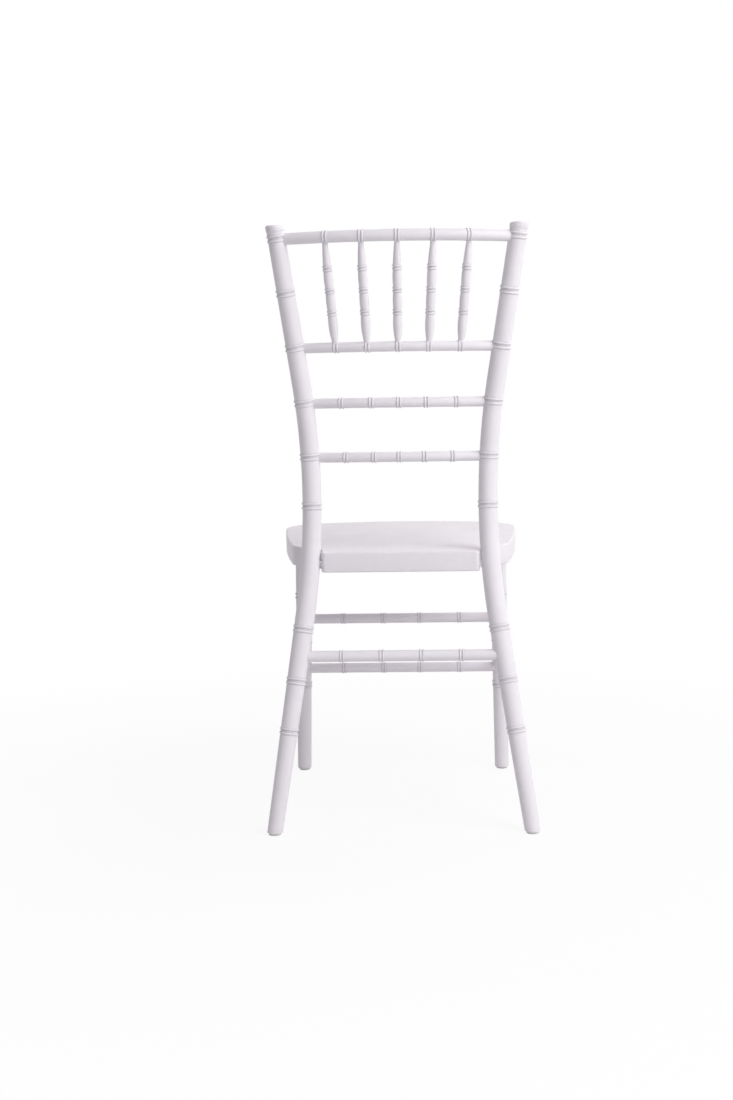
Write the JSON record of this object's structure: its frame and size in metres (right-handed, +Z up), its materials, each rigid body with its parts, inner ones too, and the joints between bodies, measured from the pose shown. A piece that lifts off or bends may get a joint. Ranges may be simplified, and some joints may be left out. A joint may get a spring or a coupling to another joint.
{
  "type": "chiavari chair",
  "caption": "Armless side chair with slim ringed posts, bowed back rails over a fan of turned spindles, a shaped wooden seat and ringed stretchers, lacquered white.",
  "frame": {"origin": "on the floor, in the middle of the chair's width and depth", "axes": "+Z up, the sitter faces -Y, +X to the sitter's left"},
  "size_m": [0.4164, 0.4968, 0.9142],
  "materials": {
    "lacquered_beech": "white satin lacquer on beech",
    "zinc_steel": "bright zinc plate",
    "glide_nylon": "plain moulded"
  },
  "bodies": {
    "root": {"rear_post_left": "lacquered_beech", "rear_post_right": "lacquered_beech", "front_leg_left": "lacquered_beech", "front_leg_right": "lacquered_beech", "back_rail_top": "lacquered_beech", "back_rail_second": "lacquered_beech", "back_rail_third": "lacquered_beech", "back_rail_bottom": "lacquered_beech", "spindle_1": "lacquered_beech", "spindle_2": "lacquered_beech", "spindle_3": "lacquered_beech", "spindle_4": "lacquered_beech", "spindle_5": "lacquered_beech", "front_stretcher_upper": "lacquered_beech", "front_stretcher_lower": "lacquered_beech", "rear_stretcher": "lacquered_beech", "side_stretcher_upper_left": "lacquered_beech", "side_stretcher_lower_left": "lacquered_beech", "side_stretcher_upper_right": "lacquered_beech", "side_stretcher_lower_right": "lacquered_beech", "seat": "lacquered_beech", "bolt_plug_left": "lacquered_beech", "bolt_plug_right": "lacquered_beech", "seat_bolt_left": "zinc_steel", "seat_bolt_right": "zinc_steel", "barrel_nut_left": "zinc_steel", "barrel_nut_right": "zinc_steel", "glide_nails": "zinc_steel", "glide_rear_post_left": "glide_nylon", "glide_rear_post_right": "glide_nylon", "glide_front_leg_left": "glide_nylon", "glide_front_leg_right": "glide_nylon"}
  },
  "joints": []
}
